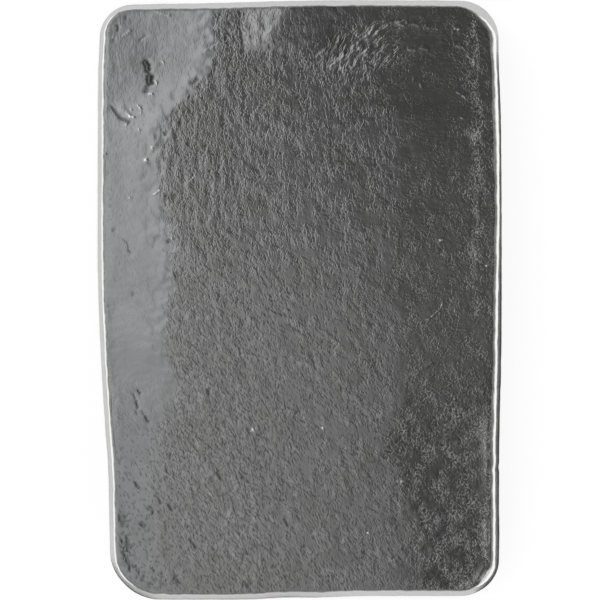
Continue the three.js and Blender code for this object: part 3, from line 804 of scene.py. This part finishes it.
class Skin:
    """The whole surface: points, faces, and for each point what the material asks."""

    def __init__(self):
        rings = build_rings()
        count = len(PLAN_X)
        self.faces = []
        for level in range(len(rings) - 1):
            for k in range(count):
                a, b = level * count + k, level * count + (k + 1) % count
                self.faces.append((a, b, b + count, a + count))
        rows = np.concatenate(rings)
        step = np.repeat(np.arange(len(rings)), count)
        nx, ny = np.tile(PLAN_NX, len(rings)), np.tile(PLAN_NY, len(rings))

        top_xs, top_ys = marked_points(rings[-1], FACE_CELL)
        inner, gap, triangles = fill_ring(rings[-1], top_xs, top_ys, 0.4 * FACE_CELL)
        first_top, first_inner = (len(rings) - 1) * count, len(rows)
        for triangle in triangles:
            corners = tuple(first_top + k if k < count else first_inner + k - count for k in triangle)
            self.faces.append(corners)
        height, grime_and_shade, painted_highlight, painted_shading = face_surface(inner[:, 0], inner[:, 1], gap)
        top = np.column_stack([inner, height])

        under_xs, under_ys = hexagonal_points(*box_of(rings[0]), UNDER_CELL)
        inner, gap, triangles = fill_ring(rings[0], under_xs, under_ys, 0.55 * UNDER_CELL)
        first_under = first_inner + len(top)
        for triangle in triangles:
            turned = reversed(triangle)
            self.faces.append(tuple(k if k < count else first_under + k - count for k in turned))
        hollow = HOLLOW_DEPTH * smoothstep(gap, LAND_WIDTH, HOLLOW_RUN)
        under = np.column_stack([inner, hollow])

        self.points = np.concatenate([rows, top, under])
        self.on_face = np.zeros(len(self.points), bool)
        self.on_face[first_inner:first_under] = True
        self.on_face[first_top:first_inner] = True
        self.grime_and_shade = self.spread(self.ring_edge_shade(step, len(rings)), grime_and_shade, under)
        self.painted_highlight = self.spread(self.ring_highlight(step, len(rings), nx, ny, rows), painted_highlight, under)
        self.painted_shading = self.spread(np.zeros(len(rows)), painted_shading, under)

    def spread(self, on_rings, on_top, under):
        return np.concatenate([on_rings, on_top, np.zeros(len(under))])

    # A dark line of painted shade on the top ring along the back.
    def ring_edge_shade(self, step, levels):
        shade_line = 0.3 + 0.4 * np.tile(round_the_edge(EDGE, 0.8, 90), levels)
        back = smoothstep(np.tile(PLAN_NY, levels), 0.2, 0.3)
        return np.where(step == levels - 1, np.clip(shade_line, 0, 1) * back, 0)

    def ring_highlight(self, step, levels, nx, ny, rows):
        """How bright the painted highlight is: along the outer part of both sides' rolls, and round the blunt
        front right corner.
        """
        roll = (step - (levels - 1 - ROLL_LEVELS)) / ROLL_LEVELS
        uneven = 0.10 * round_the_edge(EDGE, 1.9, 120) + 0.06 * round_the_edge(EDGE, 0.7, 150)
        uneven = np.tile(uneven, levels)
        front_corner = smoothstep(-rows[:, 1], 35, 10)
        left = (1 - smoothstep(roll, HIGHLIGHT_END + uneven, 0.3)) * smoothstep(-nx, 0.45, 0.35)
        left = left * smoothstep(roll, 0.14, 0.14)
        right_end = HIGHLIGHT_END + uneven + 0.8 * blunt_share(nx, ny)
        right = (1 - smoothstep(roll, right_end, 0.22)) * smoothstep(nx, lerp(0.5, 0.3, front_corner), 0.3)
        return np.clip(left + right * smoothstep(roll, 0.04, 0.1), 0, 1) * (roll <= 1)

    def make_object(self):
        mesh = bpy.data.meshes.new("ingot_skin")
        mesh.from_pydata((self.points * MM).tolist(), [], self.faces)
        mesh.polygons.foreach_set("use_smooth", np.ones(len(mesh.polygons), bool))
        mesh.update()
        x, y = self.points[:, 0], self.points[:, 1]
        across, along = grain_place(x, y)
        ring_out, ring_along = ring_place(x, y)
        ring_out = ring_out + RING_SLANT * ring_along + 0.35 * FLOW(x + 20, y)
        values = {
            "grain": np.where(self.on_face, grain_strength(x, y), WALL_GRAIN),
            "across": across,
            "along": along,
            "ring_out": ring_out,
            "ring_along": ring_along,
            "ring": np.where(self.on_face, ring_strength(x, y), 0),
            "dashes": np.where(self.on_face, dash_share(x, y), WALL_PITS),
            "left": np.where(self.on_face, left_share(x, y), 0),
            "right": np.where(self.on_face, right_share(x, y), 0),
            "painted_shading": self.painted_shading,
            "grime_and_shade": self.grime_and_shade,
            "painted_highlight": self.painted_highlight,
            "wall": np.where(self.on_face, 0, 1 - self.painted_highlight),
        }
        for name, value in values.items():
            attribute = mesh.attributes.new(name, "FLOAT", "POINT")
            attribute.data.foreach_set("value", np.asarray(value, np.float32))
        return linked("ingot_skin", mesh)


# -------- the metal
class Nodes:
    """A material's or world's node tree, with short ways to add to it."""

    def __init__(self, owner):
        owner.use_nodes = True
        self.tree = owner.node_tree

    def add(self, kind, **settings):
        made = self.tree.nodes.new(kind)
        for name, value in settings.items():
            setattr(made, name, value)
        return made

    def feed(self, socket, value):
        if isinstance(value, bpy.types.NodeSocket):
            self.tree.links.new(value, socket)
        else:
            socket.default_value = value

    def math(self, operation, *values):
        made = self.add("ShaderNodeMath", operation=operation)
        for socket, value in zip(made.inputs, values):
            self.feed(socket, value)
        return made.outputs[0]

    def times(self, a, b):
        return self.math("MULTIPLY", a, b)

    def times_plus(self, a, b, more):
        return self.math("MULTIPLY_ADD", a, b, more)

    def scaled(self, place, factor):
        made = self.add("ShaderNodeVectorMath", operation="SCALE")
        self.feed(made.inputs[0], place)
        self.feed(made.inputs["Scale"], factor)
        return made.outputs[0]

    def object_place(self):
        return self.add("ShaderNodeTexCoord").outputs["Object"]

    def attribute(self, name):
        return self.add("ShaderNodeAttribute", attribute_name=name).outputs["Fac"]

    def noise(self, place, scale, detail, roughness, distortion=0.0):
        made = self.add("ShaderNodeTexNoise")
        self.feed(made.inputs["Vector"], place)
        values = {"Scale": scale, "Detail": detail, "Roughness": roughness, "Distortion": distortion}
        for name, value in values.items():
            made.inputs[name].default_value = value
        return made.outputs["Fac"]

    def ramp(self, value, start, end, low, high):
        made = self.add("ShaderNodeMapRange", interpolation_type="SMOOTHSTEP")
        self.feed(made.inputs["Value"], value)
        for name, number in zip(("From Min", "From Max", "To Min", "To Max"), (start, end, low, high)):
            made.inputs[name].default_value = number
        return made.outputs[0]

    def mix(self, factor, a, b, blend="MIX"):
        made = self.add("ShaderNodeMix", data_type="RGBA", blend_type=blend)
        self.feed(made.inputs["Factor"], factor)
        self.feed(made.inputs[6], a)
        self.feed(made.inputs[7], b)
        return made.outputs[2]

    def mix_value(self, factor, a, b):
        made = self.add("ShaderNodeMix", data_type="FLOAT")
        for socket, value in zip(made.inputs, (factor, None, a, b)):
            if value is not None:
                self.feed(socket, value)
        return made.outputs[0]

    def axes(self, source):
        split = self.add("ShaderNodeSeparateXYZ")
        self.feed(split.inputs[0], source)
        return split.outputs


CAST_DARK, CAST_LIGHT = (0.286, 0.286, 0.282, 1), (0.312, 0.314, 0.314, 1)
COOL_TINT, OLIVE_TINT = (0.985, 1.0, 1.02, 1), (1.01, 1.02, 0.965, 1)
# The bright silver of the painted highlights, and the near black of grime and painted shade.
HIGHLIGHT_SILVER, GRIME_AND_SHADE = (0.92, 0.92, 0.91, 1), (0.030, 0.029, 0.025, 1)
# The bump's height in millimetres, what each part adds to it, and what it adds to the painted shading of the
# colour.
BUMP_HEIGHT, FOLD_BUMP, LAP_BUMP, DASH_BUMP = 0.05, 1.4, 2.2, 0.22
GRAIN_CAVITY, FOLD_CAVITY, DASH_CAVITY = 0.6, 1.0, 0.26
SATIN, WALL_SATIN, GRIME_ROUGHNESS = 0.08, 0.12, 0.4


def joined(nodes, x, y, z):
    """A place made of three numbers."""
    made = nodes.add("ShaderNodeCombineXYZ")
    for socket, value in zip(made.inputs, (x, y, z)):
        nodes.feed(socket, value)
    return made.outputs[0]


def fine_relief(nodes, in_mm):
    """The relief too fine for the mesh: the grain, the folds, the dashes and the walls' laps."""
    across, along, up = nodes.attribute("across"), nodes.attribute("along"), nodes.axes(in_mm)[2]
    drawn_out = joined(nodes, across, along, up)
    peel = nodes.ramp(nodes.noise(drawn_out, 2.35, 1, 0.78, 0.3), 0.33, 0.56, 0.37, 0.61)
    commas = nodes.ramp(nodes.noise(in_mm, 2.5, 1, 0.6, 0.7), 0.38, 0.76, 0.30, 0.80)
    grain = nodes.mix_value(nodes.attribute("right"), peel, commas)
    grain = nodes.times(nodes.math("SUBTRACT", grain, 0.5), nodes.attribute("grain"))
    along_ring = nodes.times(nodes.attribute("ring_along"), 0.17)
    ring = joined(nodes, nodes.attribute("ring_out"), along_ring, 0.0)
    folds = nodes.noise(ring, 2.1, 1, 0.7, 0.8)
    folds = nodes.times(nodes.math("SUBTRACT", folds, 0.5), nodes.attribute("ring"))
    dash_place = joined(nodes, across, nodes.times(along, 0.8), up)
    dashes = nodes.ramp(nodes.noise(dash_place, 2.5, 0, 0.5, 0.2), 0.62, 0.72, 0, 1)
    dashes = nodes.times(dashes, nodes.attribute("dashes"))
    lap_place = joined(nodes, nodes.times(across, 0.08), nodes.times(along, 0.14), up)
    laps = nodes.math("SUBTRACT", nodes.noise(lap_place, 1.1, 2, 0.6, 0.6), 0.5)
    laps = nodes.times(laps, nodes.attribute("wall"))
    return grain, folds, dashes, laps


def cast_silver():
    material = bpy.data.materials.new("cast_silver")
    nodes = Nodes(material)
    shader = nodes.tree.nodes["Principled BSDF"]
    shader.inputs["Metallic"].default_value = 1.0
    in_mm = nodes.scaled(nodes.object_place(), 1 / MM)
    grain, folds, dashes, laps = fine_relief(nodes, in_mm)
    grime_and_shade, painted_highlight = nodes.attribute("grime_and_shade"), nodes.attribute("painted_highlight")

    # Colour: patches of the cast skin, with painted shading that darkens the grain's valleys and the dashes and
    # lightens the folds, tinted in the margins, then painted highlights, and grime with painted shade.
    patches = nodes.ramp(nodes.noise(in_mm, 0.12, 3, 0.55), 0.3, 0.7, 0, 1)
    skin_colour = nodes.mix(patches, CAST_DARK, CAST_LIGHT)
    painted_shading_factor = nodes.math("ADD", nodes.attribute("painted_shading"), 1.0)
    painted_shading_factor = nodes.times_plus(grain, GRAIN_CAVITY, painted_shading_factor)
    painted_shading_factor = nodes.times_plus(folds, FOLD_CAVITY, painted_shading_factor)
    painted_shading_factor = nodes.times_plus(dashes, -DASH_CAVITY, painted_shading_factor)
    skin_colour = nodes.mix(1.0, skin_colour, painted_shading_factor, "MULTIPLY")
    cool = nodes.mix(1.0, skin_colour, COOL_TINT, "MULTIPLY")
    skin_colour = nodes.mix(nodes.attribute("left"), skin_colour, cool)
    olive_patches = nodes.ramp(nodes.noise(in_mm, 0.2, 1, 0.5), 0.36, 0.58, 0.1, 1)
    olive = nodes.mix(1.0, skin_colour, OLIVE_TINT, "MULTIPLY")
    skin_colour = nodes.mix(nodes.times(nodes.attribute("right"), olive_patches), skin_colour, olive)
    # Painted highlights: bright silver on the sides' rolls, the blunt corner, the specks, glints, grits and fold
    # crests.
    skin_colour = nodes.mix(painted_highlight, skin_colour, HIGHLIGHT_SILVER)
    nodes.feed(shader.inputs["Base Color"], nodes.mix(grime_and_shade, skin_colour, GRIME_AND_SHADE))

    satin = nodes.times_plus(nodes.noise(in_mm, 0.8, 3, 0.6), SATIN, SATIN)
    satin = nodes.times_plus(nodes.attribute("wall"), WALL_SATIN, satin)
    nodes.feed(shader.inputs["Roughness"], nodes.times_plus(grime_and_shade, GRIME_ROUGHNESS, satin))

    bump = nodes.add("ShaderNodeBump")
    bump.inputs["Distance"].default_value = BUMP_HEIGHT * MM
    bump.inputs["Strength"].default_value = 1.0
    height = nodes.times_plus(folds, FOLD_BUMP, grain)
    height = nodes.times_plus(laps, LAP_BUMP, height)
    nodes.feed(bump.inputs["Height"], nodes.times_plus(dashes, -DASH_BUMP, height))
    nodes.feed(shader.inputs["Normal"], bump.outputs[0])
    return material


skin = Skin().make_object()
skin.data.materials.append(cast_silver())
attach(skin, "root")
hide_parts("ingot")

# -------- the studio
# The picture is 600 pixels wide, at 6 pixels to the millimetre where the brim is widest.
PICTURE, PIXELS_PER_MM = 600, 6.0
MIDDLE_PIXEL_X, MIDDLE_PIXEL_Y = 299.6, 299.9
CAMERA_HEIGHT = 800.0
SENSOR = 36.0


def add_camera():
    data = bpy.data.cameras.new("camera")
    camera = linked("camera", data)
    aside = (PICTURE / 2 - MIDDLE_PIXEL_X) / PIXELS_PER_MM
    up = (MIDDLE_PIXEL_Y - PICTURE / 2) / PIXELS_PER_MM
    camera.location = (aside * MM, up * MM, (BRIM_RADIUS + CAMERA_HEIGHT) * MM)
    data.sensor_width = SENSOR
    data.lens = SENSOR * CAMERA_HEIGHT / (PICTURE / PIXELS_PER_MM)
    data.clip_start, data.clip_end = 0.05, 50
    bpy.context.scene.camera = camera


def add_stage_piece(name, points, faces, material):
    mesh = bpy.data.meshes.new(name)
    mesh.from_pydata(points, [], faces)
    mesh.materials.append(material)
    piece = linked(name, mesh)
    return piece


def rectangle(half_width, half_depth, height):
    w, d = half_width, half_depth
    return [(-w, -d, height), (w, -d, height), (w, d, height), (-w, d, height)], [(0, 1, 2, 3)]


def glowing(name):
    """A material that only glows, with its strength's socket."""
    material = bpy.data.materials.new(name)
    nodes = Nodes(material)
    nodes.tree.nodes.clear()
    glow = nodes.add("ShaderNodeEmission")
    out = nodes.add("ShaderNodeOutputMaterial")
    nodes.feed(out.inputs["Surface"], glow.outputs[0])
    return material, nodes, glow.inputs["Strength"]


# The card's sizes and its pattern are in metres.
CARD_HALF_WIDTH, CARD_HALF_DEPTH, CARD_HEIGHT = 0.75, 0.5, 0.8


def add_overhead_card():
    """The card round the lens: dark on the right and at the back, with a white panel on the left."""
    material, nodes, strength = glowing("overhead_card")
    x, y, _ = nodes.axes(nodes.object_place())
    to_the_back = nodes.ramp(y, -0.03, 0.075, 1, 0.6)
    body = nodes.times(nodes.ramp(x, -0.125, 0.135, 0.81, 0.17), to_the_back)
    # Two darker flags: behind the middle, and at the front right.
    flag_end = nodes.ramp(x, 0.035, 0.07, 1, 0)
    flag = nodes.times(nodes.ramp(x, -0.04, -0.005, 0, 1), flag_end)
    flag = nodes.times(flag, nodes.ramp(y, 0.02, 0.06, 0, 0.43))
    front_flag_end = nodes.ramp(y, -0.06, -0.02, 1, 0)
    front_flag = nodes.times(nodes.ramp(x, 0.045, 0.09, 0, 0.38), front_flag_end)
    body = nodes.times(body, nodes.math("SUBTRACT", 1.0, nodes.math("ADD", flag, front_flag)))
    # The white panel, and the light beyond the right side.
    panel = nodes.math("ADD", nodes.ramp(y, -0.035, 0.012, 0, 0.38), nodes.ramp(y, 0, 0.085, 0, 0.34))
    panel = nodes.times(nodes.ramp(x, -0.10, -0.065, 1, 0), panel)
    far = nodes.ramp(x, 0.15, 0.6, 0, 0.7)
    nodes.feed(strength, nodes.math("ADD", nodes.math("ADD", body, panel), far))
    card = add_stage_piece("overhead_card", *rectangle(CARD_HALF_WIDTH, CARD_HALF_DEPTH, CARD_HEIGHT), material)
    card.visible_camera = False


FLOOR_HALF_WIDTH, FLOOR_GREY, FLOOR_GLOW = 8, 0.35, 0.82


def add_floor():
    """A grey floor that takes the ingot's shadow, and glows for the camera and for reflections."""
    material = bpy.data.materials.new("floor")
    nodes = Nodes(material)
    nodes.tree.nodes.clear()
    diffuse = nodes.add("ShaderNodeBsdfDiffuse")
    diffuse.inputs["Color"].default_value = (FLOOR_GREY, FLOOR_GREY, FLOOR_GREY, 1)
    path = nodes.add("ShaderNodeLightPath")
    seen = nodes.math("MAXIMUM", path.outputs["Is Camera Ray"], path.outputs["Is Glossy Ray"])
    seen = nodes.math("MAXIMUM", seen, path.outputs["Is Transmission Ray"])
    glow = nodes.add("ShaderNodeEmission")
    nodes.feed(glow.inputs["Strength"], nodes.times(seen, FLOOR_GLOW))
    both = nodes.add("ShaderNodeAddShader")
    nodes.feed(both.inputs[0], diffuse.outputs[0])
    nodes.feed(both.inputs[1], glow.outputs[0])
    out = nodes.add("ShaderNodeOutputMaterial")
    nodes.feed(out.inputs["Surface"], both.outputs[0])
    add_stage_piece("floor", *rectangle(FLOOR_HALF_WIDTH, FLOOR_HALF_WIDTH, 0), material)


# How far the shadow ribbon reaches in under the brim, its height over the floor, and how faintly it glows.
RIBBON_TUCK, RIBBON_HEIGHT, RIBBON_GLOW = 1.8, 0.1, 0.06


def add_shadow_ribbon():
    """A black ribbon round the ingot's foot, which only reflections see: a painted shadow on the floor by the
    foot, which the walls reflect, widest at the right.
    """
    right = smoothstep(PLAN_NX, 0.3, 0.5) * (1 - smoothstep(PLAN_Y, 34, 12))
    front_left = smoothstep(-PLAN_NY, 0.2, 0.3) * smoothstep(-PLAN_X, -12, 14)
    front_left_corner = corner_shares(PLAN_NX, PLAN_NY)[0]
    reach = 0.1 + 3.0 * right + 0.5 * front_left + 0.9 * front_left_corner
    count = len(PLAN_X)
    points = []
    for out in (np.full(count, -RIBBON_TUCK), reach):
        xs, ys = PLAN_X + PLAN_NX * out, PLAN_Y + PLAN_NY * out
        points += (np.column_stack([xs, ys, np.full(count, RIBBON_HEIGHT)]) * MM).tolist()
    faces = [(k, k + count, (k + 1) % count + count, (k + 1) % count) for k in range(count)]
    # The ribbon glows nearly black: it is painted shadow.
    material, nodes, strength = glowing("shadow_ribbon")
    nodes.feed(strength, RIBBON_GLOW)
    shadow_ribbon = add_stage_piece("shadow_ribbon", points, faces, material)
    shadow_ribbon.visible_camera = False
    shadow_ribbon.visible_diffuse = False
    shadow_ribbon.visible_shadow = False


def add_world():
    """A white surround at the floor's level that darkens towards the ceiling."""
    world = bpy.data.worlds.new("studio")
    bpy.context.scene.world = world
    nodes = Nodes(world)
    background = nodes.tree.nodes["Background"]
    background.inputs["Color"].default_value = (1, 1, 1, 1)
    _, _, z = nodes.axes(nodes.add("ShaderNodeTexCoord").outputs["Generated"])
    nodes.feed(background.inputs["Strength"], nodes.ramp(z, 0.04, 0.75, 1, 0.5))


add_camera()
add_world()
add_floor()
add_shadow_ribbon()
add_overhead_card()
bpy.context.scene.view_settings.view_transform = "Standard"
